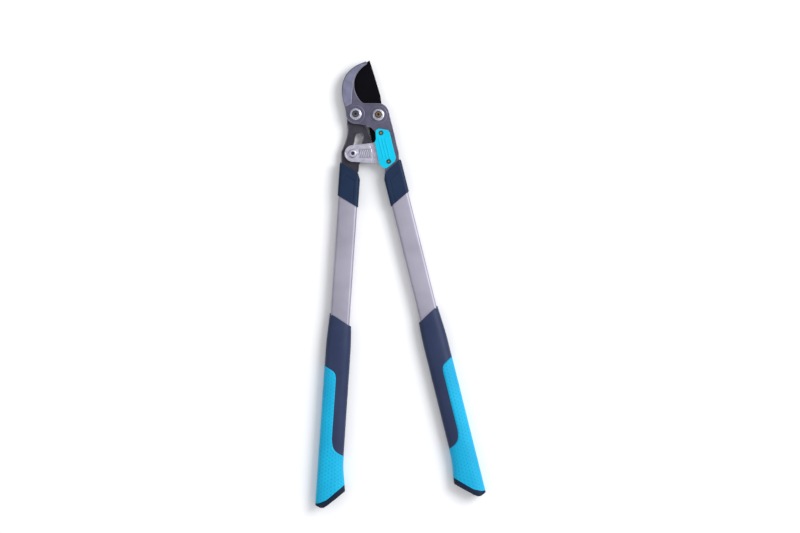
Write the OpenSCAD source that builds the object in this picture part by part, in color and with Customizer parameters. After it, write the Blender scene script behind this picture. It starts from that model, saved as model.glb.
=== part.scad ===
// Two-handed bypass lopper with a compound lever, closed and lying on its back.
// Z is up through the thickness, +Y runs to the blade's tip, and the origin is on the
// left handle's pivot axis, at the level of the surface that the tool lies on.

/* [Handles] */
// Width of the flat oval handle tube
tube_w = 30; // [28:0.5:31]
// Thickness of the flat oval handle tube
tube_t = 16; // [15:0.5:16]
// Corner radius of the handle tube
tube_round = 4; // [4:0.5:6]
// Wall thickness of the handle tube
tube_wall = 1.5; // [1:0.1:1.5]
// Distance from the pivots to the tube's upper end
tube_start = 100; // [99:0.5:102]
// Distance from the pivots to the tube's lower end, inside the grip
tube_end = 572; // [560:1:580]
// Angle of the left handle to the jaw's centre line, closed
left_tilt = 3.8; // [3.6:0.1:4]
// Angle of the right handle to the jaw's centre line, closed
right_tilt = 14; // [13.8:0.1:14.2]

/* [Grips] */
// Distance from the pivots to the grip's upper edge, on the outer side
grip_start = 312; // [280:1:330]
// Half width of the grip on its outer side
grip_out = 19.5; // [19:0.1:20]
// Half width of the grip on its inner side
grip_in = 20; // [19.5:0.1:20.5]
// Thickness of the soft panel moulded over the core
panel_t = 2.5; // [2:0.1:3]

/* [Head] */
// Distance between the two pivot bolts
pivot_gap = 35.5; // [35:0.1:36]
// Thickness of the hook plate
plate_t = 5.9; // [5.5:0.1:5.9]
// Thickness of the left arm
arm_t = 5.9; // [5.5:0.1:5.9]
// Thickness of the blade
blade_t = 4; // [3.5:0.1:4.2]
// Height of the guard over the hook plate
guard_t = 5; // [4:0.5:6]
// Radius of the pin that joins the link to the blade's tail
pin_r = 3; // [2.8:0.1:3.2]
// Radial clearance of the link's eye round that pin, which the linkage needs
eye_play = 0.8; // [0.8:0.05:0.9]

/* [Hidden] */

$fn = 64;
eps = 0.01;
grip_t = 26;
left = -1;
right = 1;

// Levels: the arm and the blade lie behind the middle plane, the plate and the link before it
mid = grip_t / 2;
slide_gap = 0.1;
plate_z = mid + slide_gap;
plate_top = plate_z + plate_t;
boss_h = 0.6;
boss_top = plate_top + boss_h;
arm_top = mid - slide_gap;
arm_z = arm_top - arm_t;
blade_z = arm_top - blade_t;
link_z = mid + 0.2;
link_nose_t = 3.8;
link_bar_t = 5.4;
link_boss_top = link_z + 6.2;

// Pivot places: the arm's bolt is the origin
arm_pivot = [0, 0];
blade_pivot = [pivot_gap, -1];
link_pivot = [-4.3, -61.2];
tail_pivot = [42, -62];
guard_screw_at = [[39.5, -29.5], [51.5, -74]];
left_axis_x = -3.2;
right_axis_x = 36.1;

// Fasteners: M8 pivot bolts with flange nuts
bolt_r = 4;
head_r = 8.5;
head_h = 5.6;
washer_t = 1.2;
washer_r = 9.5;
bush_r = 6;
running = 0.05;
flange_r = 9;
flange_h = 1.4;
hex_across_corners = 15;
hex_h = 5.6;
collar_r = 5.4;
collar_h = 1;
bolt_end = 0.6;
screw_r = 3;

// Handle pieces, measured along the tube from the pivots
tang_w = 18;
tang_end = 150;
ferrule_w = 33;
ferrule_t = 20;
ferrule_round = 5;
slot_w = 29;
groove = 0.6;
rivet_r = 2.5;
rivet_at = [110, 124];
grip_end = 620;
taper_end = 366;
flare_start = 550;
flare_angle = 8.8;
flare_w = 36;
cap_spigot_start = 588;

// Points of a cubic curve from a to d with handles b and c, without the last point
function curve(a, b, c, d, steps = 10) = [
    for (i = [0 : steps - 1])
        let (t = i / steps, u = 1 - t)
        u * u * u * a + 3 * u * u * t * b + 3 * u * t * t * c + t * t * t * d
];

// Points of an arc round c, both ends included
function arc(c, r, from, to, steps = 10) = [
    for (i = [0 : steps])
        let (a = from + (to - from) * i / steps)
        c + r * [cos(a), sin(a)]
];

// Draws in a handle's own frame: X outwards, -Y down the tube, Z from the tube's middle
module on_handle(side) {
    x = side == left ? left_axis_x : right_axis_x;
    tilt = side == left ? -left_tilt : right_tilt;
    translate([x, 0, mid]) rotate([0, 0, tilt]) mirror([side == left ? 1 : 0, 0, 0]) children();
}

// Extrudes a section in X and Z down the handle between two distances
module along(from, to) {
    translate([0, -from, 0]) rotate([90, 0, 0]) linear_extrude(to - from) children();
}

// Extrudes a plan drawn as [outwards, distance] through the whole thickness
module plan(points, h = 60) {
    translate([0, 0, -h / 2]) linear_extrude(h) polygon([for (p = points) [p[0], -p[1]]]);
}

module oval(w, t) {
    square([w - t, t], center = true);
    for (x = [-1, 1]) translate([x * (w - t) / 2, 0]) circle(d = t);
}

// Section of the handle tube, shrunk on every side by inset
module tube_section(inset = 0) {
    soft_box(tube_w - 2 * inset, tube_t - 2 * inset, tube_round - inset);
}

module soft_box(w, t, r) {
    square([w, t - 2 * r], center = true);
    square([w - 2 * r, t], center = true);
    for (x = [-1, 1]) for (z = [-1, 1])
        translate([x * (w / 2 - r), z * (t / 2 - r)]) circle(r);
}

module disc(at, r, from, to) {
    translate([at[0], at[1], from]) cylinder(r = r, h = to - from);
}

module ring(at, r_out, r_in, from, to) {
    difference() {
        disc(at, r_out, from, to);
        disc(at, r_in, from - 1, to + 1);
    }
}

// ---- Head: hook plate, arm, blade and link ----

tang_pocket = 10.5;
pocket_at = [16, -35];
hook_outline = concat(
    curve([-15, 0], [-15.5, 12], [-21.6, 18], [-21.6, 38]),
    curve([-21.6, 38], [-21.6, 62], [-6, 75], [14.5, 82]),
    arc([15.6, 80], 2.2, 110, -30, 4),
    curve([17.2, 78], [6, 71], [-2.7, 60], [-2.7, 46]),
    curve([-2.7, 46], [-2.7, 33], [7, 18], [14, 16.5]),
    curve([36, 17], [45.5, 17], [51.5, 9], [53, -1]),
    [[59, -24.2], [67.4, -60], [67.8, -67], [68.7, -82], [67.8, -95]],
    [[51.2, -99], [45.4, -90], [45.6, -76]],
    arc(tail_pivot, tang_pocket, -60, 80, 12),
    [[36, -44]],
    arc(pocket_at, 16, -12, 75, 10),
    [[17.5, -20.5], [16, -17.2], [6.7, -15.6]],
    arc(arm_pivot, 15, 262, 190, 8)
);

// Raised band that stiffens the outer side of the hook
hook_band = concat(
    [[-8.5, 15.5]],
    curve([-15.6, 11.5], [-17, 17], [-20.4, 22], [-20.4, 38]),
    curve([-20.4, 38], [-20.4, 61], [-5.4, 73.4], [14.4, 80.6]),
    [[16, 79]],
    curve([16, 78.4], [5, 71.5], [-3.9, 60], [-3.9, 46]),
    [[-3.9, 46], [-5.6, 34], [-6.2, 24], [-6.4, 17]]
);

module hook_plate() {
    bosses = [arm_pivot, blade_pivot];
    color("#8f8f98") difference() {
        union() {
            translate([0, 0, plate_z]) linear_extrude(plate_t) polygon(hook_outline);
            for (p = bosses) disc(p, 14, plate_z, boss_top);
            translate([0, 0, plate_z]) linear_extrude(plate_t + boss_h) polygon(hook_band);
            on_handle(right) translate([-tang_w / 2, -tang_end, plate_z - mid])
                cube([tang_w, tang_end - 95, plate_t]);
        }
        for (p = bosses) disc(p, bolt_r, plate_z - 1, boss_top + 1);
        for (p = guard_screw_at) disc(p, 2, plate_z - 1, plate_top + 1);
        on_handle(right) rivet_holes();
    }
}

module left_arm() {
    slot_top = [5.4, -35.5];
    slot_low = [2.5, -48.6];
    slot_r = 6.2;
    arm_hub_r = 10;
    color("#55535c") difference() {
        union() {
            translate([0, 0, arm_z]) linear_extrude(arm_t) polygon(concat(
                arc(arm_pivot, arm_hub_r, -40, 150, 14),
                [[-13.4, -6]],
                curve([-13.6, -16], [-12, -28], [-13, -36], [-18, -48]),
                [[-22.4, -58.5], [-22.8, -66], [-22.8, -77], [-21.8, -88], [-18.6, -97]],
                [[0, -98], [4.6, -88], [5, -79]],
                arc([12.3, -38.5], 11.3, -42, 35, 8),
                [[17.9, -21.6], [15.3, -18.6], [10.5, -11]]
            ));
            on_handle(left) translate([-tang_w / 2, -tang_end, arm_z - mid])
                cube([tang_w, tang_end - 95, arm_t]);
        }
        disc(arm_pivot, bush_r, arm_z - 1, arm_top + 1);
        disc(link_pivot, screw_r, arm_z - 1, arm_top + 1);
        translate([0, 0, arm_z - 1]) linear_extrude(arm_t + 2) {
            translate(slot_top) circle(slot_r);
            translate(slot_low) circle(slot_r);
            polygon([
                slot_top + [-slot_r, 0], slot_top + [slot_r, 0],
                slot_low + [slot_r, 0], slot_low + [-slot_r, 0]
            ]);
        }
        on_handle(left) rivet_holes();
    }
}

module blade() {
    tail_r = 9;
    hub_r = 15.6;
    color("#1d1d22") difference() {
        translate([0, 0, blade_z]) linear_extrude(blade_t) polygon(concat(
            curve([21.6, 84.4], [10, 78], [-4, 66], [-5.5, 46]),
            curve([-5.5, 46], [-6, 32], [4, 20], [17.5, 12.5]),
            arc(blade_pivot, hub_r, 165, 215, 6),
            [[21.2, -21.5], [21.8, -28], [23.3, -34], [24.2, -38.5], [25.6, -43], [29.3, -51]],
            arc(tail_pivot, tail_r, 170, 370, 14),
            [[47.5, -42], [46, -25]],
            arc(blade_pivot, hub_r, -50, 70, 12),
            curve([38.4, 30], [34.8, 42], [31, 56], [21.6, 84.4])
        ));
        disc(blade_pivot, bush_r, blade_z - 1, arm_top + 1);
        disc(tail_pivot, pin_r, blade_z - 1, arm_top + 1);
    }
}

module link() {
    link_r = 13;
    low_edge = -76;
    color("#b3b2bf") difference() {
        union() {
            translate([0, 0, link_z]) linear_extrude(link_nose_t) polygon(concat(
                arc(link_pivot, link_r, 90, 262, 14),
                [[31, low_edge], [36, -74]],
                arc(tail_pivot, 9.5, -75, 75, 12),
                [[38.5, -48]],
                curve([36, -44], [33, -41.5], [30, -42], [22, -47.4], 5)
            ));
            translate([0, 0, link_z]) linear_extrude(link_bar_t) polygon(concat(
                arc(link_pivot, link_r, 90, 262, 14),
                [[28, low_edge], [26.5, -62], [22, -47.4]]
            ));
            disc(link_pivot, 8.6, link_z, link_boss_top);
        }
        disc(link_pivot, 5, link_z - 1, link_boss_top + 1);
        disc(tail_pivot, pin_r + eye_play, link_z - 1, link_z + link_bar_t + 1);
        translate([4.5, -68, link_z + link_bar_t - 1]) cube([18.5, 14, 2]);
    }
}

// ---- Pivot fasteners ----

module pivot_bolt(at, under_head, top) {
    disc(at, bolt_r, under_head - eps, top);
    disc(at, head_r, under_head - head_h, under_head);
}

arm_under_head = arm_z - 0.2 - washer_t;
blade_under_head = blade_z - 0.2 - washer_t;
nut_top = boss_top + flange_h + hex_h + collar_h;

module handle_pivot_bolt() {
    color("#a8a8b0") pivot_bolt(arm_pivot, arm_under_head, nut_top + bolt_end);
}

module blade_pivot_bolt() {
    color("#a8a8b0") pivot_bolt(blade_pivot, blade_under_head, nut_top + bolt_end);
}

module flange_nuts() {
    color("#d4d4da") for (p = [arm_pivot, blade_pivot]) difference() {
        union() {
            disc(p, flange_r, boss_top, boss_top + flange_h);
            translate([p[0], p[1], boss_top + flange_h - eps])
                cylinder(d = hex_across_corners, h = hex_h + eps, $fn = 6);
            disc(p, collar_r, nut_top - collar_h - eps, nut_top);
        }
        disc(p, bolt_r, boss_top - 1, nut_top + 1);
    }
}

module pivot_washers() {
    color("#b9b9c0") {
        ring(arm_pivot, washer_r, bolt_r, arm_under_head, arm_under_head + washer_t);
        ring(blade_pivot, washer_r, bolt_r, blade_under_head, blade_under_head + washer_t);
    }
}

module arm_bush() {
    color("#a8763e") ring(arm_pivot, bush_r, bolt_r + running, arm_z, arm_top);
}

module blade_bush() {
    color("#a8763e") ring(blade_pivot, bush_r, bolt_r + running, blade_z, arm_top);
}

module link_bush() {
    color("#a8763e") ring(link_pivot, 5, bolt_r + running, link_z, link_boss_top);
}

// Shoulder screw that the link turns on, tapped through the arm into a lock nut
module link_screw() {
    head_z = link_boss_top + 0.2;
    color("#9b9ba3") difference() {
        union() {
            disc(link_pivot, 7, head_z, head_z + 3.4);
            disc(link_pivot, bolt_r, arm_top, head_z + eps);
            disc(link_pivot, screw_r, arm_z - 4.4, arm_top + eps);
        }
        translate([link_pivot[0], link_pivot[1], head_z + 1.4])
            cylinder(d = 5.8, h = 3, $fn = 6);
    }
}

module link_locknut() {
    color("#a8a8b0") difference() {
        translate([link_pivot[0], link_pivot[1], arm_z - 4.8]) cylinder(d = 11.5, h = 4.8, $fn = 6);
        disc(link_pivot, screw_r, arm_z - 6, arm_z + 1);
    }
}

module tail_pin() {
    color("#8a8a92") {
        disc(tail_pivot, pin_r, blade_z - eps, link_z + link_nose_t + 1.2);
        disc(tail_pivot, 5, blade_z - 1.5, blade_z);
    }
}

module tail_clip() {
    color("#6d6d75") ring(tail_pivot, 5.5, pin_r,
        link_z + link_nose_t + 0.2, link_z + link_nose_t + 0.9);
}

// ---- Guard over the link's end ----

module guard() {
    rib_w = 2;
    color("#17b8e6") difference() {
        translate([0, 0, plate_top]) union() {
            linear_extrude(guard_t) polygon([
                [31, -29], [31.5, -25], [36.4, -22.8], [50.5, -25], [53.4, -29.5], [58.3, -50.8],
                [62.8, -68], [61.2, -73.5], [53.6, -80.5], [47.3, -85], [41.2, -82.8],
                [37.2, -78.5], [34.8, -68], [31.7, -52.3], [29.6, -44.5], [31.5, -39.5]
            ]);
            for (x = [37, 42, 47]) translate([x, -38, guard_t - eps]) rotate([0, 0, -166])
                cube([rib_w, 32, groove]);
        }
        for (p = guard_screw_at) {
            disc(p, 2, plate_top - 1, plate_top + guard_t + 1);
            disc(p, 3.8, plate_top + guard_t - 1.2, plate_top + guard_t + 1);
        }
    }
}

module guard_screws() {
    color("#9a8068") for (p = guard_screw_at) {
        disc(p, 2, plate_z, plate_top + guard_t - 1.2 + eps);
        disc(p, 3.3, plate_top + guard_t - 1.2, plate_top + guard_t + 0.2);
    }
}

// ---- Handles ----

module rivet_holes() {
    for (s = rivet_at) disc([0, -s], rivet_r, -tube_t, tube_t);
}

module tang_slot(side, w, from, to) {
    z = side == left ? arm_z - mid : plate_z - mid;
    t = side == left ? arm_t : plate_t;
    translate([-w / 2, -to, z]) cube([w, to - from, t]);
}

module tube(side) {
    color("#c3c1cd") on_handle(side) difference() {
        along(tube_start, tube_end) tube_section();
        along(tube_start - 1, tube_end + 1) tube_section(tube_wall);
        rivet_holes();
    }
}

// Moulded filler that beds the tang in the tube
module tang_insert(side) {
    color("#d9d6cc") on_handle(side) difference() {
        along(tube_start, tang_end + 4) tube_section(tube_wall);
        tang_slot(side, tang_w, tube_start - 1, tang_end);
        rivet_holes();
    }
}

module tang_rivets(side) {
    color("#b5b5bd") on_handle(side)
        for (s = rivet_at) disc([0, -s], rivet_r, -tube_t / 2, tube_t / 2);
}

module ferrule(side) {
    half = ferrule_w / 2;
    line = half - 8.2;
    color("#2c3a55") on_handle(side) difference() {
        intersection() {
            along(70, 150) soft_box(ferrule_w, ferrule_t, ferrule_round);
            plan([
                [half - 1, 76], [half, 80], [half, 128], [-half, 144.5], [-half, 101], [-13, 91.5]
            ]);
        }
        along(tube_start, 151) tube_section();
        tang_slot(side, slot_w, 60, tube_start + eps);
        translate([0, 0, ferrule_t / 2 - groove]) linear_extrude(2) polygon([
            [-line, -160], [-line, -103], [6, -95], [6, -96.4], [-line + 1, -103.6], [-line + 1, -160]
        ]);
    }
}

// Outer form of a grip, shrunk on every side by inset: an oval bar, with a second bar turned
// inwards for the hand stop, thinned towards its upper edge in both views
module grip_form(inset) {
    top = grip_start - 20;
    mouth_w = 16;
    mouth_t = 9.4;
    out = grip_out - inset;
    in = grip_in - inset;
    half_t = grip_t / 2 - inset;
    intersection() {
        union() {
            along(top, grip_end) translate([(out - in) / 2, 0]) oval(out + in, 2 * half_t);
            translate([-grip_in, -flare_start, 0]) rotate([0, 0, -flare_angle])
                along(-8, 90) translate([flare_w / 2, 0]) oval(flare_w - 2 * inset, 2 * half_t);
        }
        plan([
            [mouth_w - inset, top], [out + 1, taper_end], [out + 1, grip_end],
            [-50, grip_end], [-50, flare_start], [-in - 1, taper_end], [-mouth_w - 1 + inset, top]
        ]);
        translate([-50, 0, 0]) rotate([90, 0, 90]) linear_extrude(100) polygon([
            [-top, mouth_t - inset], [-taper_end, half_t + 1], [-grip_end, half_t + 1],
            [-grip_end, -half_t - 1], [-taper_end, -half_t - 1], [-top, inset - mouth_t]
        ]);
    }
}

// Line where the end cap starts, and the outline of its underside, as [outwards, distance]
cap_line = [[-40, 562], [-23, 578.5], [2, 602.5], [14, 608.5], [22, 609.5], [40, 610]];
end_line = [
    [40, 610.8], [21, 611], [18, 613.5], [8.5, 617], [3, 613.5], [-10.5, 602], [-25, 588.5],
    [-27, 585], [-40, 575]
];
panel_plan = concat(
    [[40, 384], [18, 395]],
    [[3, 402.5], [0.7, 406], [0, 412], [0, 512], [-1.2, 519], [-5.5, 526.5]],
    [[-20, 533], [-40, 542], [-40, 650], [40, 650]]
);

module grip_core(side) {
    color("#34425d") on_handle(side) difference() {
        grip_form(0);
        difference() {
            plan(panel_plan);
            grip_form(panel_t);
        }
        plan([[-40, 340], [-18, 331], [16, 312], [40, 299], [40, 250], [-40, 250]]);
        plan(concat(cap_line, [[60, 700], [-60, 700]]));
        along(200, tube_end + 1) tube_section();
        along(cap_spigot_start, 650) oval(24, 10);
    }
}

module grip_panel(side) {
    color("#12b6e0") on_handle(side) difference() {
        intersection() {
            grip_form(0);
            plan(panel_plan);
        }
        grip_form(panel_t);
        plan(concat(cap_line, [[60, 700], [-60, 700]]));
    }
}

module end_cap(side) {
    lap = 1;
    color("#1c2a43") on_handle(side) {
        intersection() {
            grip_form(0);
            plan(concat(cap_line, end_line));
        }
        intersection() {
            along(cap_spigot_start, grip_end) oval(24, 10);
            plan(concat([[40, 540], [-40, 540]], [for (p = cap_line) p + [0, lap]]));
        }
    }
}

module right_tang_insert() tang_insert(right);
module right_tube() tube(right);
module right_tang_rivets() tang_rivets(right);
module right_ferrule() ferrule(right);
module right_grip_core() grip_core(right);
module right_grip_panel() grip_panel(right);
module right_end_cap() end_cap(right);
module left_tang_insert() tang_insert(left);
module left_tube() tube(left);
module left_tang_rivets() tang_rivets(left);
module left_ferrule() ferrule(left);
module left_grip_core() grip_core(left);
module left_grip_panel() grip_panel(left);
module left_end_cap() end_cap(left);

hook_plate();
handle_pivot_bolt();
blade_pivot_bolt();
flange_nuts();
pivot_washers();
guard();
guard_screws();
right_tang_insert();
right_tube();
right_tang_rivets();
right_ferrule();
right_grip_core();
right_grip_panel();
right_end_cap();
left_arm();
arm_bush();
link_screw();
link_locknut();
left_tang_insert();
left_tube();
left_tang_rivets();
left_ferrule();
left_grip_core();
left_grip_panel();
left_end_cap();
blade();
blade_bush();
tail_pin();
tail_clip();
link();
link_bush();
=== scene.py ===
import bmesh
import bpy
import math
from mathutils import Matrix, Vector


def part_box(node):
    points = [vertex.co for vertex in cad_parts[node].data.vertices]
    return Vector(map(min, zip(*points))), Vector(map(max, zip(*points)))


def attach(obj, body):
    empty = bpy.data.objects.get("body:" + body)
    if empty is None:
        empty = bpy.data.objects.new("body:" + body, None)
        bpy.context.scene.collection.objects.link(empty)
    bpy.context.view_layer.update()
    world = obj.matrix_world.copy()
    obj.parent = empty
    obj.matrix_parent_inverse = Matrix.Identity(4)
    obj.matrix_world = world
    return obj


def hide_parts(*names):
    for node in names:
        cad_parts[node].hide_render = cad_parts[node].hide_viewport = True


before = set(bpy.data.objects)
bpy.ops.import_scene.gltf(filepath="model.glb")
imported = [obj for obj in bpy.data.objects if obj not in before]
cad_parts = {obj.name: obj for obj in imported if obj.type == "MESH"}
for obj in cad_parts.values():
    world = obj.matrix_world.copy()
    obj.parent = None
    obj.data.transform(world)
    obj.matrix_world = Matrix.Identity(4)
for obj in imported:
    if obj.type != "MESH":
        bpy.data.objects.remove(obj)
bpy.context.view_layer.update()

# ---- Studio ----
# A pale sweep of matt board under one big soft lamp on the right and a dimmer one on the
# left. The tool lies on the board and the camera looks straight down at it.
scene = bpy.context.scene
scene.view_settings.view_transform = "Standard"
camera_aim = Vector((0.0692, -0.2375, 0.013))
camera_height = 3.0
view_width = 1.25
sensor = 36

camera = bpy.data.objects.new("camera", bpy.data.cameras.new("camera"))
camera.data.sensor_width = sensor
camera.data.lens = sensor * camera_height / view_width
camera.location = camera_aim + Vector((0, 0, camera_height))
camera.data.clip_end = 50
scene.collection.objects.link(camera)
scene.camera = camera


def soft_lamp(name, place, size, power):
    lamp = bpy.data.objects.new(name, bpy.data.lights.new(name, "AREA"))
    lamp.data.shape = "DISK"
    lamp.data.size = size
    lamp.data.energy = power
    lamp.location = Vector(place)
    lamp.rotation_euler = (camera_aim - lamp.location).to_track_quat("-Z", "Y").to_euler()
    scene.collection.objects.link(lamp)


soft_lamp("key_lamp", (2.2, 0.8, 2.6), 1.8, 70)
soft_lamp("fill_lamp", (-2.4, -0.6, 2.4), 2.4, 14)


def linear(code):
    """Colour of a #rrggbb code in linear light, with alpha."""
    parts = [int(code[i : i + 2], 16) / 255 for i in (1, 3, 5)]
    return [p / 12.92 if p <= 0.04045 else ((p + 0.055) / 1.055) ** 2.4 for p in parts] + [1]


def add(tree, kind, inputs=(), **settings):
    """A new node with its settings, its inputs by name or number, and its links."""
    node = tree.nodes.new(kind)
    for name, value in settings.items():
        setattr(node, name, value)
    for name, value in dict(inputs).items():
        if isinstance(value, bpy.types.NodeSocket):
            tree.links.new(value, node.inputs[name])
        else:
            node.inputs[name].default_value = value
    return node


# The room is brighter on the right than on the left, which shades the round metal parts
world = bpy.data.worlds.new("room")
world.use_nodes = True
scene.world = world
room = world.node_tree
room.nodes.clear()
direction = add(room, "ShaderNodeTexCoord").outputs["Generated"]
across = add(room, "ShaderNodeSeparateXYZ", {0: direction}).outputs["X"]
glow = add(room, "ShaderNodeMapRange", {0: across, 1: -0.9, 2: 0.6, 3: 0.35, 4: 1.05})
sky = add(room, "ShaderNodeBackground", {"Color": (0.96, 0.97, 1, 1), "Strength": glow.outputs[0]})
add(room, "ShaderNodeOutputWorld", {"Surface": sky.outputs[0]})


def new_material(name, colour, metallic, roughness):
    """A material with one Principled shader: returns the material, its tree and the shader."""
    material = bpy.data.materials.new(name)
    material.use_nodes = True
    tree = material.node_tree
    shader = tree.nodes["Principled BSDF"]
    shader.inputs["Base Color"].default_value = linear(colour)
    shader.inputs["Metallic"].default_value = metallic
    shader.inputs["Roughness"].default_value = roughness
    return material, tree, shader


def link_up(tree, shader, sockets):
    """Links outputs to the shader's inputs, by name."""
    for name, socket in sockets.items():
        tree.links.new(socket, shader.inputs[name])


# Matt board: off-white, with a trace of fibre
board, tree, shader = new_material("matt_board", "#f7f7f8", 0, 0.9)
place = add(tree, "ShaderNodeTexCoord").outputs["Object"]
fibre = add(tree, "ShaderNodeTexNoise", {"Vector": place, "Scale": 700})
bump = add(tree, "ShaderNodeBump", {"Height": fibre.outputs[0], "Strength": 0.05})
link_up(tree, shader, {"Normal": bump.outputs[0]})

corner_angle = 35


def finish_mesh(bm, name, material, smooth_angle=corner_angle):
    """Turns the bmesh into an object at the origin, its outer corners marked for rounding."""
    bm.normal_update()
    rounded = bm.edges.layers.float.new("bevel_weight_edge")
    for edge in bm.edges:
        corner = edge.calc_face_angle(0) > math.radians(smooth_angle)
        edge[rounded] = float(corner and edge.is_convex)
    mesh = bpy.data.meshes.new(name)
    bm.to_mesh(mesh)
    bm.free()
    mesh.materials.append(material)
    mesh.polygons.foreach_set("use_smooth", [True] * len(mesh.polygons))
    mesh.set_sharp_from_angle(angle=math.radians(smooth_angle))
    piece = bpy.data.objects.new(name, mesh)
    scene.collection.objects.link(piece)
    return piece


floor_size = 9
bm = bmesh.new()
bmesh.ops.create_grid(bm, x_segments=4, y_segments=4, size=floor_size)
finish_mesh(bm, "floor", board)

# ---- Handle tubes ----
# Drawn aluminium tube of a flat oval section, 30 mm wide with a wall of 1.5 mm, sawn to
# length and matt anodised. The ferrule hides one end and the grip the other.
mm = 0.001
sides = ("left", "right")
tube_middle = 336 * mm
tube_length = 472 * mm
tube_size = (30 * mm, 16 * mm)
tube_corner = 4 * mm
tube_wall = 1.5 * mm


def centre(node):
    low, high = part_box(node)
    return (low + high) / 2


def down_handle(side):
    """Direction of the tube, away from the pivots."""
    return (centre(f"{side}_tube") - centre(f"{side}_tang_rivets")).normalized()


def handle_axes(side):
    """The handle's own frame: X outwards, -Y down the tube from the pivots, Z up."""
    down = down_handle(side)
    up = Vector((0, 0, 1))
    outwards = up.cross(down) if side == "right" else down.cross(up)
    start = centre(f"{side}_tube") - down * tube_middle
    return Matrix((outwards, -down, up)).transposed().to_4x4(), Matrix.Translation(start)


def to_handle(bm, side):
    """Moves what was drawn in the handle's own frame to its place on that side."""
    turn, shift = handle_axes(side)
    bmesh.ops.transform(bm, matrix=shift @ turn, verts=bm.verts)
    if turn.determinant() < 0:
        bmesh.ops.reverse_faces(bm, faces=bm.faces)


def handle_place(tree, side):
    """Object coordinates turned into the handle's own frame."""
    down = down_handle(side)
    lean = math.atan2(down.x, -down.y)
    return add(tree, "ShaderNodeMapping", {
        "Vector": add(tree, "ShaderNodeTexCoord").outputs["Object"],
        "Rotation": (0, 0, -lean),
    }).outputs[0]


def mottle(tree, place, scale, detail, codes, low=0.35, high=0.65):
    """Soft clouds, and a colour that drifts with them between two #rrggbb codes."""
    cloud = add(tree, "ShaderNodeTexNoise", {"Vector": place, "Scale": scale, "Detail": detail})
    tone = add(tree, "ShaderNodeMapRange", {0: cloud.outputs[0], 1: low, 2: high})
    colour = add(tree, "ShaderNodeMix", {
        "Factor": tone.outputs[0], 6: linear(codes[0]), 7: linear(codes[1]),
    }, data_type="RGBA")
    return cloud.outputs[0], colour.outputs[2]


def relief(tree, height, strength, depth):
    """The normal of a bumpy surface, with its depth in metres."""
    bump = add(tree, "ShaderNodeBump", {
        "Height": height, "Strength": strength, "Distance": depth,
    })
    return bump.outputs[0]


def anodised_aluminium(side):
    """Pale violet grey and satin, with die lines drawn out along the tube."""
    material, tree, shader = new_material(f"matt_anodised_aluminium_{side}", "#a9a6b4", 1, 0.55)
    place = handle_place(tree, side)
    # Die lines are about 0.05 mm apart; they are drawn 0.8 mm apart to show
    drawn = add(tree, "ShaderNodeMapping", {"Vector": place, "Scale": (1250, 12, 1250)})
    lines = add(tree, "ShaderNodeTexNoise", {"Vector": drawn.outputs[0], "Scale": 1, "Detail": 4})
    _, colour = mottle(tree, place, 14, 3, ("#9a97a5", "#aba8b6"))
    rough = add(tree, "ShaderNodeMapRange", {0: lines.outputs[0], 3: 0.48, 4: 0.64})
    link_up(tree, shader, {
        "Base Color": colour,
        "Roughness": rough.outputs[0],
        "Normal": relief(tree, lines.outputs[0], 0.12, 0.4 * mm),
    })
    return material


for side in sides:
    bm = bmesh.new()
    bmesh.ops.create_grid(bm, x_segments=1, y_segments=1, size=0.5)
    bmesh.ops.scale(bm, vec=(*tube_size, 1), verts=bm.verts)
    bmesh.ops.bevel(bm, geom=bm.verts[:], affect="VERTICES", offset=tube_corner, segments=8,
                    profile=0.5, material=-1)
    bmesh.ops.rotate(bm, matrix=Matrix.Rotation(math.pi / 2, 3, "X"), verts=bm.verts)
    bmesh.ops.translate(bm, vec=(0, tube_length / 2 - tube_middle, 0), verts=bm.verts)
    rim = bmesh.ops.extrude_face_region(bm, geom=bm.faces[:])["geom"]
    far = [v for v in rim if isinstance(v, bmesh.types.BMVert)]
    bmesh.ops.translate(bm, vec=(0, -tube_length, 0), verts=far)
    ends = [f for f in bm.faces if len(f.verts) > 4]
    bmesh.ops.delete(bm, geom=ends, context="FACES_ONLY")
    bmesh.ops.recalc_face_normals(bm, faces=bm.faces)
    bmesh.ops.solidify(bm, geom=bm.faces[:], thickness=tube_wall)
    to_handle(bm, side)
    tube = finish_mesh(bm, f"{side}_handle_tube", anodised_aluminium(side))
    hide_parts(f"{side}_tube")
    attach(tube, f"{side}_handle")

# ---- Ferrules ----
# Moulded nylon sleeves over the upper ends of the tubes, which take the tangs. Both ends are
# on the slant, and a fine moulded line runs down the front and turns across the top.
ferrule_edge = 0.5 * mm
# Points closer than this are merged
same_point = 0.002 * mm


def cad_copy(node):
    """A bmesh of a CAD node, its doubles merged and its flat faces joined up."""
    bm = bmesh.new()
    bm.from_mesh(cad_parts[node].data)
    bmesh.ops.remove_doubles(bm, verts=bm.verts, dist=same_point)
    bmesh.ops.dissolve_limit(bm, angle_limit=math.radians(1), verts=bm.verts, edges=bm.edges)
    return bm


def round_edges(piece, width, segments=3, edge_highlight=None):
    """Rounds the outer corners of a piece, and paints a highlight on them in the brighter finish
    given, if any.
    """
    edge = piece.modifiers.new("edge_radius", "BEVEL")
    edge.width = width
    edge.segments = segments
    edge.limit_method = "WEIGHT"
    edge.use_clamp_overlap = False
    if edge_highlight:
        piece.data.materials.append(edge_highlight)
        edge.material = len(piece.data.materials) - 1
    shade = piece.modifiers.new("flat_faces_stay_flat", "WEIGHTED_NORMAL")
    shade.weight = 90
    shade.keep_sharp = True


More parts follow.
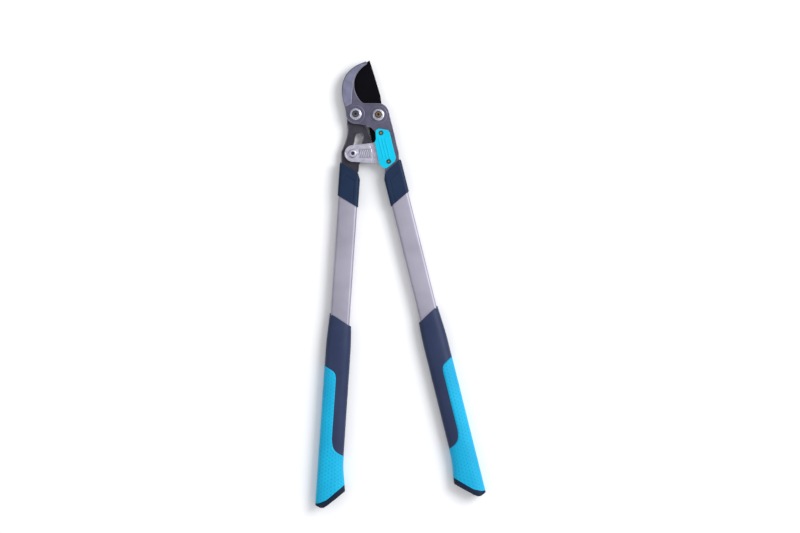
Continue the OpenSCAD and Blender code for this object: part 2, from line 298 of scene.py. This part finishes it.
def moulded_plastic(name, colours, roughness):
    """Injection-moulded plastic: satin, an even colour that drifts a little, and a fine grain."""
    material, tree, shader = new_material(name, colours[0], 0, roughness)
    shader.inputs["Specular IOR Level"].default_value = 0.17
    place = add(tree, "ShaderNodeTexCoord").outputs["Object"]
    _, colour = mottle(tree, place, 22, 4, colours)
    # Spark-eroded grain is about 0.2 mm across; it is drawn 0.7 mm across to show
    grain = add(tree, "ShaderNodeTexNoise", {"Vector": place, "Scale": 1400, "Detail": 2})
    rough = add(tree, "ShaderNodeMapRange", {
        0: grain.outputs[0], 3: roughness - 0.05, 4: roughness + 0.07,
    })
    link_up(tree, shader, {
        "Base Color": colour,
        "Roughness": rough.outputs[0],
        "Normal": relief(tree, grain.outputs[0], 0.25, 0.3 * mm),
    })
    return material


# Nylon: a deep navy with a low satin sheen
nylon = moulded_plastic("moulded_nylon_navy", ("#112440", "#182b48"), 0.46)
for side in sides:
    ferrule = finish_mesh(cad_copy(f"{side}_ferrule"), f"{side}_tube_ferrule", nylon)
    round_edges(ferrule, ferrule_edge)
    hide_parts(f"{side}_ferrule")
    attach(ferrule, f"{side}_handle")

# ---- Grips ----
# Polypropylene cores pressed onto the tubes, 39 mm wide and 26 mm thick, with a hand stop
# flared inwards. A soft panel is moulded into a recess on the outside and round the stop.
points_round = 72
roundness = 2.5
panel_depth = 2.3
panel_gap = 0.12
core_inset = 0.25
grip_corner_angle = 50
dimple_pitch = 3 * mm
# Half sizes at the mouth of the grip and where it is full, in millimetres
outer_mouth, outer_full = 15.9, 19.5
inner_mouth, inner_full = 16.2, 20.0
depth_mouth, depth_full = 9.2, 13.0
# Distances from the pivots at which the grip swells in width and in depth, each with how far
# it takes, and at which its hand stop flares inwards
width_swell, width_reach = 285, 85
depth_swell, depth_reach = 280, 95
flare_start, flare_bend, flare_slope = 538, 26, 0.158
# Lines across the grip as (outwards, distance from the pivots), all in millimetres
mouth_line = [(-20, 332.2), (20, 309.8)]
panel_top = [(-20, 414), (20, 394)]
panel_low = [(-20, 533), (20, 515)]
cap_line = [(-30, 571.8), (2, 602.5), (14, 608.5), (20, 609.6)]
end_line = [(-30, 579), (-27, 584), (-25, 588.5), (3, 613.5), (9, 616.6), (18, 613.8), (20, 611.4)]


def ease(x):
    """0 before x is 0, 1 after x is 1, and smooth between."""
    x = min(max(x, 0), 1)
    return x * x * (3 - 2 * x)


def on_line(line, x):
    """Distance of the line at x millimetres outwards."""
    for (x1, y1), (x2, y2) in zip(line, line[1:]):
        if x <= x2:
            break
    return y1 + (y2 - y1) * (x - x1) / (x2 - x1)


def half_width(x_sign, distance):
    """Half width of the grip on its outer or its inner side."""
    swell = ease((distance - width_swell) / width_reach)
    if x_sign > 0:
        return outer_mouth + (outer_full - outer_mouth) * swell
    flare = max(0, distance - flare_start)
    if flare < flare_bend:
        rise = flare * flare / (2 * flare_bend)
    else:
        rise = flare - flare_bend / 2
    return inner_mouth + (inner_full - inner_mouth) * swell + flare_slope * rise


def half_thickness(distance):
    swell = ease((distance - depth_swell) / depth_reach)
    return depth_mouth + (depth_full - depth_mouth) * swell


def grip_point(angle, lines, share, inset):
    """Point at an angle round the grip, on a row that lies between two lines."""
    across = math.copysign(abs(math.cos(angle)) ** (2 / roundness), math.cos(angle))
    rise = math.copysign(abs(math.sin(angle)) ** (2 / roundness), math.sin(angle))
    x = 20 * across
    for _ in range(3):
        distance = (1 - share) * on_line(lines[0], x) + share * on_line(lines[1], x)
        x = across * (half_width(across, distance) - inset)
    return Vector((x, -distance, rise * (half_thickness(distance) - inset)))


def grip_skin(rows, inset=0):
    """A closed loft through rows of points, each row a pair of lines and a share."""
    bm = bmesh.new()
    turn = bm.verts.layers.float.new("turn")
    bmesh.ops.create_circle(bm, cap_ends=True, segments=points_round, radius=1)
    for vert in bm.verts:
        vert[turn] = math.atan2(vert.co.y, vert.co.x)
    ring = bm.verts[:]
    end = bm.faces[:]
    for number, (lines, share) in enumerate(rows):
        if number:
            grown = bmesh.ops.extrude_face_region(bm, geom=end)["geom"]
            if number > 1:
                bmesh.ops.delete(bm, geom=end, context="FACES_ONLY")
            ring = [v for v in grown if isinstance(v, bmesh.types.BMVert)]
            end = [f for f in grown if isinstance(f, bmesh.types.BMFace)]
        for vert in ring:
            vert.co = grip_point(vert[turn], lines, share, inset)
    bmesh.ops.recalc_face_normals(bm, faces=bm.faces)
    return bm


def between(first, second, count):
    """Rows from the first line up to, but not on, the second."""
    return [((first, second), i / count) for i in range(count)]


corner_top = Vector((0, on_line(panel_top, 0)))
corner_low = Vector((0, on_line(panel_low, 0)))
panel_outline = [Vector((60, on_line(panel_top, 60))), corner_top, corner_low,
                 Vector((-60, on_line(panel_low, -60))), Vector((-60, 700)), Vector((60, 700))]


def inside(outline, point):
    """True if a point in plan lies within the outline."""
    crossings = 0
    for a, b in zip(outline, outline[1:] + outline[:1]):
        if (a.y > point.y) != (b.y > point.y):
            crossings += point.x < a.x + (b.x - a.x) * (point.y - a.y) / (b.y - a.y)
    return crossings % 2 == 1


def panel_faces(bm, inset):
    """The faces of the skin that the panel covers, its two corners eased into curves."""
    covered = set()
    for face in bm.faces:
        middle = face.calc_center_median()
        if inside(panel_outline, Vector((middle.x, -middle.y))):
            covered.add(face)
    for corner, reach, turns in ((corner_top, 9, 8), (corner_low, 14, 26)):
        zone = [v for v in bm.verts
                if abs(v.co.x) < reach and abs(v.co.y + corner.y) < reach]
        rim = {e for v in zone for e in v.link_edges
               if sum(f in covered for f in e.link_faces) == 1}
        edging = {v for e in rim for v in e.verts}
        for turn in range(2 * turns):
            moves = []
            for vert in zone:
                if vert in edging and turn >= turns:
                    continue
                edges = [e for e in vert.link_edges if e in rim] if vert in edging else []
                near = [e.other_vert(vert).co for e in edges or vert.link_edges]
                mean = sum(near, Vector()) / len(near)
                moves.append((vert, (vert.co + mean) / 2))
            for vert, place in moves:
                vert.co.x, vert.co.y = place.x, place.y
        for vert in zone:
            width = half_width(vert.co.x, -vert.co.y) - inset
            rise = max(0, 1 - abs(vert.co.x / width) ** roundness) ** (1 / roundness)
            vert.co.z = math.copysign(rise * (half_thickness(-vert.co.y) - inset), vert.co.z)
    return covered


# Running lengths round the middle of the panel. The dimples are about 3 mm apart, so that a
# whole number of rows goes round it
middle_row = [grip_point(2 * math.pi * i / points_round, (panel_top, panel_low), 0.5, 0)
              for i in range(points_round)]
girth = [0.0]
for a, b in zip(middle_row, middle_row[1:] + middle_row[:1]):
    girth.append(girth[-1] + (b - a).length * mm)
rows_round = round(girth[-1] / (dimple_pitch * math.sqrt(3)))
wave_number = 2 * math.pi * rows_round / girth[-1]


def soft_panel_material():
    """Matt cyan thermoplastic rubber with small round dimples in a close staggered pattern, each
    darkened with painted shade.
    """
    material, tree, shader = new_material("soft_rubber_cyan", "#00a0d2", 0, 0.5)
    shader.inputs["Specular IOR Level"].default_value = 0.25
    uv = add(tree, "ShaderNodeUVMap", uv_map="surface").outputs[0]
    waves = []
    for step in range(3):
        heading = math.radians(60 * step)
        way = (math.cos(heading), math.sin(heading), 0)
        along = add(tree, "ShaderNodeVectorMath", {0: uv, 1: way}, operation="DOT_PRODUCT")
        turns = add(tree, "ShaderNodeMath", {0: along.outputs["Value"], 1: wave_number},
                    operation="MULTIPLY")
        waves.append(add(tree, "ShaderNodeMath", {0: turns.outputs[0]}, operation="COSINE"))
    pair = add(tree, "ShaderNodeMath", {0: waves[0].outputs[0], 1: waves[1].outputs[0]})
    total = add(tree, "ShaderNodeMath", {0: pair.outputs[0], 1: waves[2].outputs[0]})
    dimple = add(tree, "ShaderNodeMapRange", {0: total.outputs[0], 1: 1.1, 2: 2.4})
    place = add(tree, "ShaderNodeTexCoord").outputs["Object"]
    _, base = mottle(tree, place, 18, 3, ("#00a2cd", "#00b0da"))
    # The dimples are darker in colour too: painted shade in their hollows
    colour = add(tree, "ShaderNodeMix", {
        "Factor": dimple.outputs[0], 6: base, 7: linear("#0093c0"),
    }, data_type="RGBA")
    grain = add(tree, "ShaderNodeTexNoise", {"Vector": place, "Scale": 1500, "Detail": 2})
    depth = add(tree, "ShaderNodeMath", {
        0: dimple.outputs[0], 1: -1.0, 2: grain.outputs[0],
    }, operation="MULTIPLY_ADD")
    link_up(tree, shader, {
        "Base Color": colour.outputs[2],
        "Normal": relief(tree, depth.outputs[0], 0.5, 0.4 * mm),
    })
    return material


def unwrap(bm):
    """Lays out UV in metres: round the grip and along it."""
    turn = bm.verts.layers.float["turn"]
    uv = bm.loops.layers.uv.new("surface")
    for face in bm.faces:
        start = None
        for loop in face.loops:
            share = (loop.vert[turn] / (2 * math.pi)) % 1 * points_round
            low = int(share)
            place = girth[low] + (girth[low + 1] - girth[low]) * (share - low)
            if start is None:
                start = place
            if place - start > girth[-1] / 2:
                place -= girth[-1]
            if start - place > girth[-1] / 2:
                place += girth[-1]
            loop[uv].uv = (place, -loop.vert.co.y * mm)


rows = (between(mouth_line, panel_top, 26) + between(panel_top, panel_low, 36)
        + between(panel_low, cap_line, 26) + [((cap_line, cap_line), 0)])
# Polypropylene: a greyer navy than the nylon, and a little shinier
core_plastic = moulded_plastic("moulded_polypropylene_navy", ("#273250", "#2e3957"), 0.42)
soft_rubber = soft_panel_material()
for side in sides:
    bm = grip_skin(rows, core_inset)
    recess = panel_faces(bm, core_inset)
    bmesh.ops.inset_region(bm, faces=list(recess), thickness=panel_gap, depth=-panel_depth)
    bmesh.ops.scale(bm, vec=(mm, mm, mm), verts=bm.verts)
    to_handle(bm, side)
    core = finish_mesh(bm, f"{side}_handle_grip", core_plastic, grip_corner_angle)
    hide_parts(f"{side}_grip_core")
    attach(core, f"{side}_handle")

    bm = grip_skin(rows, 0)
    covered = panel_faces(bm, 0)
    unwrap(bm)
    bmesh.ops.delete(bm, geom=[f for f in bm.faces if f not in covered], context="FACES")
    bmesh.ops.scale(bm, vec=(mm, mm, mm), verts=bm.verts)
    to_handle(bm, side)
    panel = finish_mesh(bm, f"{side}_soft_grip_panel", soft_rubber, grip_corner_angle)
    wall = panel.modifiers.new("wall", "SOLIDIFY")
    wall.thickness = panel_depth * mm
    wall.offset = -1
    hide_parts(f"{side}_grip_panel")
    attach(panel, f"{side}_handle")

# ---- End caps ----
# Moulded plugs that close the grips, about 10 mm thick, with their ends on the slant and
# their rims rounded off.
cap_rim = 1.6 * mm
cap_inset = 0.1
cap_gap = 0.15
# ABS: the darkest navy, smooth enough for a soft highlight
cap_plastic = moulded_plastic("moulded_abs_dark_navy", ("#0e1a30", "#131f38"), 0.38)
cap_start = [(x, distance + cap_gap) for x, distance in cap_line]
for side in sides:
    bm = grip_skin(between(cap_start, end_line, 5) + [((end_line, end_line), 0)], cap_inset)
    bmesh.ops.scale(bm, vec=(mm, mm, mm), verts=bm.verts)
    to_handle(bm, side)
    cap = finish_mesh(bm, f"{side}_grip_cap", cap_plastic)
    round_edges(cap, cap_rim, 4)
    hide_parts(f"{side}_end_cap")
    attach(cap, f"{side}_handle")

# ---- Hook plate ----
# One drop forging: the fixed hook with its stiffening band, the two pivot bosses and the tang
# of the right handle. It is shot blasted and lacquered, so it stays a soft violet grey.


def forged_steel(name, colours, roughness, metallic):
    """A worked metal skin: slightly mottled, and pebbled so that highlights break up."""
    material, tree, shader = new_material(name, colours[0], metallic, roughness)
    place = add(tree, "ShaderNodeTexCoord").outputs["Object"]
    cloud, colour = mottle(tree, place, 90, 5, colours)
    # Blast pits are about 0.1 mm across; they are drawn 0.8 mm across to show
    pits = add(tree, "ShaderNodeTexVoronoi", {"Vector": place, "Scale": 1250})
    rough = add(tree, "ShaderNodeMapRange", {
        0: cloud, 3: roughness - 0.08, 4: roughness + 0.08,
    })
    link_up(tree, shader, {
        "Base Color": colour,
        "Roughness": rough.outputs[0],
        "Normal": relief(tree, pits.outputs[0], 0.3, 0.2 * mm),
    })
    return material


band_level = 19.6 * mm
band_end = 11.5 * mm
# Heights closer than this are the same
same_level = 0.01 * mm
forging_edge = 0.4 * mm
# Matt violet grey where it is blasted, paler on the ground band, and bright on the rounded
# corners, which is a painted highlight
blasted = forged_steel("lacquered_blasted_steel", ("#575568", "#636174"), 0.5, 0.85)
linished = forged_steel("linished_steel", ("#7a7b93", "#8889a2"), 0.42, 0.9)
painted_highlight_steel = forged_steel("painted_highlight_steel", ("#9695a6", "#a5a4b4"), 0.35, 1)
bm = cad_copy("hook_plate")
for face in bm.faces:
    middle = face.calc_center_median()
    face.material_index = int(abs(middle.z - band_level) < same_level and middle.y > band_end)
hook = finish_mesh(bm, "forged_hook_plate", blasted)
hook.data.materials.append(linished)
round_edges(hook, forging_edge, 2, painted_highlight_steel)
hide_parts("hook_plate")
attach(hook, "right_handle")

# ---- Left arm ----
# The moving lever, forged with a sunk web: a rim 1.3 mm wide stands round its outline and
# round the slot. It has a dark phosphate finish.
rim_width = 1.3 * mm
web_depth = 1.2 * mm
# A dull brownish black, with a painted grey highlight on the rounded corners
phosphated = forged_steel("dark_phosphated_steel", ("#37363f", "#424049"), 0.52, 0.7)
painted_highlight_phosphate = forged_steel("phosphated_steel_painted_highlight", ("#706e7c", "#7c7a88"), 0.4, 1)


def sink_web(bm, level, width, depth):
    """Sinks the flat faces at a level inside a flat rim of that width, with a drafted wall."""
    top = [f for f in bm.faces
           if f.normal.z > 0.99 and abs(f.calc_center_median().z - level) < same_level]
    for step in (width, depth / 3):
        bmesh.ops.inset_region(bm, faces=top, thickness=step, use_even_offset=True)
    bmesh.ops.translate(bm, vec=(0, 0, -depth), verts=list({v for f in top for v in f.verts}))


bm = cad_copy("left_arm")
sink_web(bm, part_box("left_arm")[1].z, rim_width, web_depth)
arm = finish_mesh(bm, "forged_lever_arm", phosphated)
round_edges(arm, forging_edge, 2, painted_highlight_phosphate)
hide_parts("left_arm")
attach(arm, "left_handle")

# ---- Blade ----
# Stamped from 4 mm carbon steel, flat side to the hook, and coated black against rust and
# sap. The cutting edge is ground after coating, so its bevel behind is bare steel.
blade_edge = 0.15 * mm
spine = Vector((34 * mm, 46 * mm))
# The bevel grows to its full width from its start up the blade, and fades out at the tip
grind_width = 7.5 * mm
grind_start, grind_fade, tip_fade = 12.7 * mm, 24 * mm, 18 * mm
# The points of the cutting edge and the faces of the bevel lie to the left of these
edge_reach = 21.4 * mm
bevel_reach = 30 * mm
# Non-stick coating: near black and satin, with hardly a reflection
coating, tree, shader = new_material("black_non_stick_coating", "#08070c", 0, 0.5)
shader.inputs["Specular IOR Level"].default_value = 0.05
place = add(tree, "ShaderNodeTexCoord").outputs["Object"]
# Orange peel in the coating is 0.5 mm across; it is drawn 1 mm across to show
peel = add(tree, "ShaderNodeTexNoise", {"Vector": place, "Scale": 1000, "Detail": 2})
cloud, colour = mottle(tree, place, 60, 4, ("#030307", "#0a0910"), 0, 1)
rough = add(tree, "ShaderNodeMapRange", {0: cloud, 3: 0.42, 4: 0.58})
link_up(tree, shader, {
    "Base Color": colour,
    "Roughness": rough.outputs[0],
    "Normal": relief(tree, peel.outputs[0], 0.15, 0.2 * mm),
})

# Bare ground steel: bright, its highlight drawn out by the marks of the wheel
ground, tree, shader = new_material("ground_blade_steel", "#b9bac0", 1, 0.28)
place = add(tree, "ShaderNodeTexCoord").outputs["Object"]
# Grinding marks run across the edge, about 0.1 mm apart; they are drawn 0.6 mm apart
marks = add(tree, "ShaderNodeMapping", {"Vector": place, "Scale": (60, 1600, 60)})
lines = add(tree, "ShaderNodeTexNoise", {"Vector": marks.outputs[0], "Scale": 1, "Detail": 3})
rough = add(tree, "ShaderNodeMapRange", {0: lines.outputs[0], 3: 0.2, 4: 0.42})
link_up(tree, shader, {
    "Roughness": rough.outputs[0],
    "Normal": relief(tree, lines.outputs[0], 0.2, 0.2 * mm),
})

blade_low, blade_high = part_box("blade")
bm = cad_copy("blade")
for vert in bm.verts:
    x, y, z = vert.co
    if z < blade_low.z + same_level and x < edge_reach and y > grind_start:
        share = ease((y - grind_start) / grind_fade) * ease((blade_high.y - y) / tip_fade)
        inwards = (spine - Vector((x, y))).normalized() * grind_width * share
        vert.co.x += inwards.x
        vert.co.y += inwards.y
bm.normal_update()
for face in bm.faces:
    x, y, z = face.calc_center_median()
    slanted = -0.98 < face.normal.z < -0.15
    face.material_index = int(slanted and x < bevel_reach and y > grind_start)
blade = finish_mesh(bm, "coated_cutting_blade", coating)
blade.data.materials.append(ground)
round_edges(blade, blade_edge, 2)
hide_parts("blade")
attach(blade, "blade")

# ---- Link ----
# A die-cast aluminium link, tumbled bright. It has a thin rim, a sunk panel with slanting ribs
# beside the screw boss and one long ridge above its lower edge.
face_level, ridge_level = 18.5, 19.1
panel_floor, rib_level = 17.5, 18.6
link_edge = 0.25 * mm
# Pale and satin, with small dents that scatter the light
cast, tree, shader = new_material("tumbled_die_casting", "#c0bdcc", 1, 0.4)
place = add(tree, "ShaderNodeTexCoord").outputs["Object"]
_, colour = mottle(tree, place, 160, 5, ("#aeabbb", "#cbc9d8"), 0.3, 0.7)
# Tumbling marks are about 0.1 mm across; they are drawn 0.9 mm across to show
marks = add(tree, "ShaderNodeTexNoise", {"Vector": place, "Scale": 1100, "Detail": 3})
rough = add(tree, "ShaderNodeMapRange", {0: marks.outputs[0], 3: 0.3, 4: 0.52})
link_up(tree, shader, {
    "Base Color": colour,
    "Roughness": rough.outputs[0],
    "Normal": relief(tree, marks.outputs[0], 0.3, 0.3 * mm),
})
# The floor of the sunk panel is a darker grey, and the rounded corners are brighter, which is a
# painted highlight
darker_panel_floor = forged_steel("darker_sunk_panel_floor", ("#918f9d", "#a09eac"), 0.5, 1)
painted_highlight_cast = forged_steel("die_casting_painted_highlight", ("#d9d8e2", "#e3e2ec"), 0.3, 1)


def add_ridge(bm, path, width, low, high):
    """A ridge of even width along a path in plan, in millimetres."""
    path = [Vector(point) for point in path]
    lines = []
    for point, before, after in zip(path, path[:1] + path, path[1:] + path[-1:]):
        way = (after - before).normalized() * width / 2
        lines.append([bm.verts.new((point.x - side * way.y, point.y + side * way.x, low))
                      for side in (1, -1)])
    strip = [bm.faces.new((a[0], a[1], b[1], b[0])) for a, b in zip(lines, lines[1:])]
    raised = bmesh.ops.extrude_face_region(bm, geom=strip)["geom"]
    top = [v for v in raised if isinstance(v, bmesh.types.BMVert)]
    bmesh.ops.translate(bm, vec=(0, 0, high - low), verts=top)


def arc(middle, radius, first, last, steps):
    """Points on an arc in plan, between two angles in degrees."""
    angles = [math.radians(first + (last - first) * i / steps) for i in range(steps + 1)]
    return [(middle[0] + radius * math.cos(a), middle[1] + radius * math.sin(a)) for a in angles]


eye = centre("link_screw") / mm
bm = bmesh.new()
add_ridge(bm, [(21, -48.8)] + arc(eye, 11.6, 92, 232, 30) + [(2, -74.2), (26.3, -74.2)],
          1, face_level, ridge_level)
add_ridge(bm, [(3, -71), (25, -71)], 0.9, face_level, ridge_level)
for step in range(5):
    left = 5.6 + 3.3 * step
    add_ridge(bm, [(left, -66.6), (left + 2.8, -55.4)], 1.5, panel_floor, rib_level)
bmesh.ops.scale(bm, vec=(mm, mm, mm), verts=bm.verts)
bmesh.ops.recalc_face_normals(bm, faces=bm.faces)
ridges = bpy.data.meshes.new("link_ridges")
bm.to_mesh(ridges)
bm.free()
bm = cad_copy("link")
bm.from_mesh(ridges)
for face in bm.faces:
    level = face.calc_center_median().z
    face.material_index = int(panel_floor * mm < level < (panel_floor + 0.2) * mm
                              and face.normal.z > 0.9)
link = finish_mesh(bm, "cast_power_link", cast)
link.data.materials.append(darker_panel_floor)
round_edges(link, link_edge, 2, painted_highlight_cast)
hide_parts("link")
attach(link, "link")

# ---- Pivot bolts and nuts ----
# Two M8 bolts come up through the bushes. Each is held by a zinc-plated flange nut with a
# locking collar, and ends in a hexagon socket just above it.

# Zinc plate: bright, with duller patches where it has been handled
zinc, tree, shader = new_material("bright_zinc_plate", "#d6d5dc", 1, 0.24)
place = add(tree, "ShaderNodeTexCoord").outputs["Object"]
cloud, colour = mottle(tree, place, 420, 4, ("#b2b3c1", "#d2d4e0"))
rough = add(tree, "ShaderNodeMapRange", {0: cloud, 3: 0.16, 4: 0.36})
link_up(tree, shader, {"Base Color": colour, "Roughness": rough.outputs[0]})

# The left bolt is a dull dark grey, and the right one has a brown tint
dull_steel = forged_steel("dark_oiled_steel", ("#5b5a63", "#6c6b75"), 0.4, 1)
passivated = forged_steel("yellow_passivated_steel", ("#7d6350", "#96785f"), 0.4, 1)
bolt_finishes = {"handle": dull_steel, "blade": passivated}

# Locking collars are black. The insides of sockets and holes take the same black as painted shade
# in the hollow. Both have an uneven film of oil in their sheen
black_collar_and_shade, tree, shader = new_material("black_collar_and_recess_shade", "#15141a", 0, 0.5)
place = add(tree, "ShaderNodeTexCoord").outputs["Object"]
film = add(tree, "ShaderNodeTexNoise", {"Vector": place, "Scale": 900, "Detail": 2})
rough = add(tree, "ShaderNodeMapRange", {0: film.outputs[0], 3: 0.35, 4: 0.65})
link_up(tree, shader, {"Roughness": rough.outputs[0]})


def turned(bm, outline, at, steps=48):
    """Adds a turned part: an outline of (radius, height) in mm, spun round an upright axis."""
    verts = [bm.verts.new((at[0] + r * mm, at[1], z * mm)) for r, z in outline]
    edges = [bm.edges.new(pair) for pair in zip(verts, verts[1:])]
    bmesh.ops.spin(bm, geom=verts + edges, cent=(at[0], at[1], 0), axis=(0, 0, 1),
                   angle=2 * math.pi, steps=steps, use_merge=True)


def close_turned(bm):
    """Joins the seams and poles of turned parts, and turns their faces outwards."""
    bmesh.ops.remove_doubles(bm, verts=bm.verts, dist=same_point)
    bmesh.ops.recalc_face_normals(bm, faces=bm.faces)


def cut_holes(piece, holes):
    """Cuts upright holes, each (place, low, high, radius, sides) with lengths in mm."""
    bm = bmesh.new()
    for at, low, high, radius, sides in holes:
        bmesh.ops.create_cone(
            bm, cap_ends=True, segments=sides, radius1=radius * mm, radius2=radius * mm,
            depth=(high - low) * mm,
            matrix=Matrix.Translation((at[0], at[1], (low + high) / 2 * mm)))
    # The walls of the holes take the tool's black: painted shade inside them
    tool = finish_mesh(bm, "hole_tool", black_collar_and_shade)
    cut = piece.modifiers.new("holes", "BOOLEAN")
    cut.object = tool
    cut.solver = "EXACT"
    cut.material_mode = "TRANSFER"
    ready = piece.evaluated_get(bpy.context.evaluated_depsgraph_get())
    old = piece.data
    piece.data = bpy.data.meshes.new_from_object(ready)
    piece.data.set_sharp_from_angle(angle=math.radians(corner_angle))
    piece.modifiers.clear()
    bpy.data.objects.remove(tool)
    bpy.data.meshes.remove(old)


pivots = {"handle": centre("handle_pivot_bolt"), "blade": centre("blade_pivot_bolt")}
# Heights and radii in millimetres
nut_seat = 19.6
flange_height = 1.5
body_height = 5.6
body_radius = 7.5
body_top = nut_seat + flange_height + body_height
crown = 0.7
bore = 4.1
collar_seat = 26.4
collar_radius = 5.5
bolt_top = 28.2
nut_edge = 0.2 * mm
bodies = bmesh.new()
nuts = bmesh.new()
for turn, at in ((14, pivots["handle"]), (-8, pivots["blade"])):
    turned(nuts, [(bore, nut_seat), (8.6, nut_seat), (9, nut_seat + 0.4), (8.9, nut_seat + 1),
                  (7.2, nut_seat + flange_height), (bore, nut_seat + flange_height),
                  (bore, nut_seat)], at)
    turned(nuts, [(bore, collar_seat), (collar_radius, collar_seat),
                  (collar_radius, collar_seat + 0.7), (5, collar_seat + 1.2),
                  (4.5, collar_seat + 1.2), (bore, collar_seat + 0.9), (bore, collar_seat)], at)
    hexagon = bmesh.ops.create_cone(
        bodies, cap_ends=True, segments=6, radius1=body_radius * mm, radius2=body_radius * mm,
        depth=body_height * mm,
        matrix=Matrix.Translation((at.x, at.y, (body_top - body_height / 2) * mm))
        @ Matrix.Rotation(math.radians(turn), 4, "Z"))["verts"]
    top_edges = {e for v in hexagon for e in v.link_edges
                 if all(end.co.z > (body_top - crown) * mm for end in e.verts)}
    bmesh.ops.bevel(bodies, geom=list(top_edges), affect="EDGES", offset=crown * mm,
                    segments=2, profile=0.5, material=-1)
bodies = finish_mesh(bodies, "nut_bodies", zinc)
cut_holes(bodies, [(at, nut_seat, bolt_top, bore, 48) for at in pivots.values()])
close_turned(nuts)
nuts.from_mesh(bodies.data)
bpy.data.objects.remove(bodies)
for face in nuts.faces:
    middle = face.calc_center_median()
    reach = min((middle - at).xy.length for at in pivots.values())
    face.material_index = int(middle.z > (body_top + 0.05) * mm
                              and reach < (collar_radius + 0.1) * mm)
nuts = finish_mesh(nuts, "pivot_flange_nuts", zinc)
nuts.data.materials.append(black_collar_and_shade)
round_edges(nuts, nut_edge, 2)
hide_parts("flange_nuts")
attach(nuts, "right_handle")

shank = 4
head_height = 5.6
for name, at in pivots.items():
    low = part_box(f"{name}_pivot_bolt")[0].z / mm
    bm = bmesh.new()
    turned(bm, [(0, low), (7.4, low), (8.2, low + 0.4), (8.5, low + 1.2),
                (8.5, low + head_height), (shank, low + head_height), (shank, bolt_top - 0.4),
                (shank - 0.4, bolt_top), (0, bolt_top)], at)
    close_turned(bm)
    bolt = finish_mesh(bm, f"{name}_pivot_screw", bolt_finishes[name])
    cut_holes(bolt, [(at, bolt_top - 3, bolt_top + 1, 2.3, 6), (at, low - 1, low + 2.6, 2.9, 6)])
    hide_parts(f"{name}_pivot_bolt")
    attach(bolt, "right_handle")

# ---- Link screw and its lock nut ----
# A button-head shoulder screw that the link turns on. Its shoulder stands on the arm, and its
# thread goes through the arm into a thin lock nut behind.
shoulder = 12.9
locknut_radius = 5.75
at = centre("link_screw")
low, high = (corner.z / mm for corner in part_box("link_screw"))
bm = bmesh.new()
turned(bm, [(0, low), (2.6, low), (3, low + 0.4), (3, shoulder), (4, shoulder),
            (4, high - 3.4), (7, high - 3.4), (7, high - 2.4), (6.4, high - 1.1),
            (5.2, high - 0.2), (4.6, high), (0, high)], at)
close_turned(bm)
screw = finish_mesh(bm, "link_shoulder_screw", cast)
cut_holes(screw, [(at, high - 2, high + 1, 3.1, 6)])
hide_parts("link_screw")
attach(screw, "left_handle")

nut_low, nut_high = (corner.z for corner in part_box("link_locknut"))
bm = bmesh.new()
bmesh.ops.create_cone(bm, cap_ends=True, segments=6, radius1=locknut_radius * mm,
                      radius2=locknut_radius * mm, depth=nut_high - nut_low,
                      matrix=Matrix.Translation((at.x, at.y, (nut_low + nut_high) / 2)))
low_edges = [e for e in bm.edges if all(v.co.z < nut_low + same_level for v in e.verts)]
bmesh.ops.bevel(bm, geom=low_edges, affect="EDGES", offset=0.5 * mm, segments=2, profile=0.5,
                material=-1)
locknut = finish_mesh(bm, "link_screw_nut", zinc)
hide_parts("link_locknut")
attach(locknut, "left_handle")

# ---- Guard ----
# An ABS cover screwed on over the end of the link, with three shallow ridges down it. It has
# the colour of the soft panels but a smoother, glossier skin.
guard_edge = 0.4 * mm
# ABS: clean cyan with a clearer highlight along each ridge
guard_abs = moulded_plastic("moulded_abs_cyan", ("#00b0d2", "#00bedf"), 0.36)
guard = finish_mesh(cad_copy("guard"), "link_guard", guard_abs)
round_edges(guard, guard_edge)
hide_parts("guard")
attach(guard, "right_handle")

# Bronzed steel: a dark warm brown, with a copper painted highlight in the middle of each head
bronze = forged_steel("bronzed_steel", ("#4e423b", "#65554a"), 0.35, 1)
highlight_bronze = forged_steel("bronze_painted_highlight", ("#b98d63", "#cda57c"), 0.3, 1)
low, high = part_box("guard_screws")
foot, top = low.z / mm, high.z / mm
head = 3.3
highlight_reach = 1.5
screw_places = [(low.x + head * mm, high.y - head * mm), (high.x - head * mm, low.y + head * mm)]
bm = bmesh.new()
for at in screw_places:
    turned(bm, [(0, foot), (2, foot), (2, top - 1.4), (head, top - 1.4), (head, top - 0.5),
                (2.8, top), (1.9, top), (1.7, top - 0.5), (1.3, top - 0.1), (0, top - 0.1)],
           at, 32)
close_turned(bm)
# The middle of each head takes the painted highlight
for face in bm.faces:
    middle = face.calc_center_median()
    reach = min((middle.xy - Vector(at)).length for at in screw_places)
    face.material_index = int(reach < highlight_reach * mm and middle.z > 20 * mm)
caps = finish_mesh(bm, "guard_screw_heads", bronze)
caps.data.materials.append(highlight_bronze)
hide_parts("guard_screws")
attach(caps, "right_handle")

# ---- Pin, clip, washers, bushes, fillers and rivets ----
# Small parts whose plain turned or moulded forms are complete as they are: most of them lie
# inside the joints or inside the tubes.

# Sintered bronze: warm, dull and a little porous. Natural nylon: plain ivory
sintered = forged_steel("sintered_bronze", ("#8a6238", "#9c7344"), 0.45, 1)
filler = moulded_plastic("natural_nylon", ("#cfc9b8", "#d9d4c5"), 0.5)
finishes = {
    "tail_pin": dull_steel, "tail_clip": dull_steel,
    "pivot_washers": zinc, "left_tang_rivets": zinc, "right_tang_rivets": zinc,
    "arm_bush": sintered, "blade_bush": sintered, "link_bush": sintered,
    "left_tang_insert": filler, "right_tang_insert": filler,
}
for node, finish in finishes.items():
    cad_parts[node].data.materials[0] = finish
